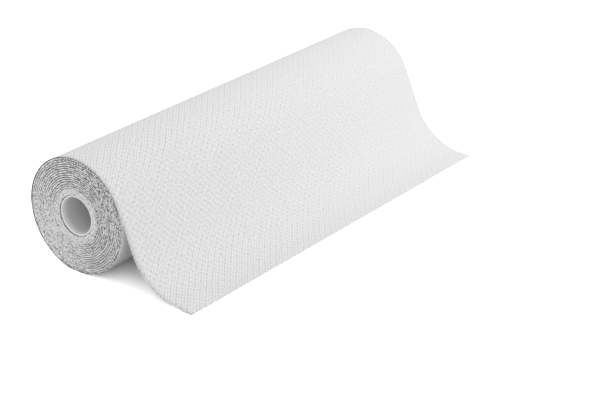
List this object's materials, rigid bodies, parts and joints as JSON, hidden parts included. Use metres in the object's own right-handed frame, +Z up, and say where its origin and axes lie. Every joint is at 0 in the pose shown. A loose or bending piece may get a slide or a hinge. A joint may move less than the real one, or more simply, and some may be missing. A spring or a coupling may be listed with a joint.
{
  "type": "exam table paper roll",
  "caption": "Wide roll of white embossed exam table paper wound on a tube core, lying on its side with a loose sheet drawn over the top and down to a torn edge.",
  "frame": {"origin": "middle of the core tube's bore, on the roll's axis", "axes": "+Y along the roll's axis, away from the end that faces the viewer; +X the way the loose sheet leaves the roll; +Z up from the surface that the roll lies on"},
  "size_m": [0.214, 0.5, 0.1246],
  "materials": {
    "embossed_tissue": "matt two-ply crepe tissue, embossed in a fine square net",
    "core_board": "matt white-lined paperboard"
  },
  "bodies": {
    "root": {"wound_paper": "embossed_tissue", "core_tube": "core_board"}
  },
  "joints": []
}
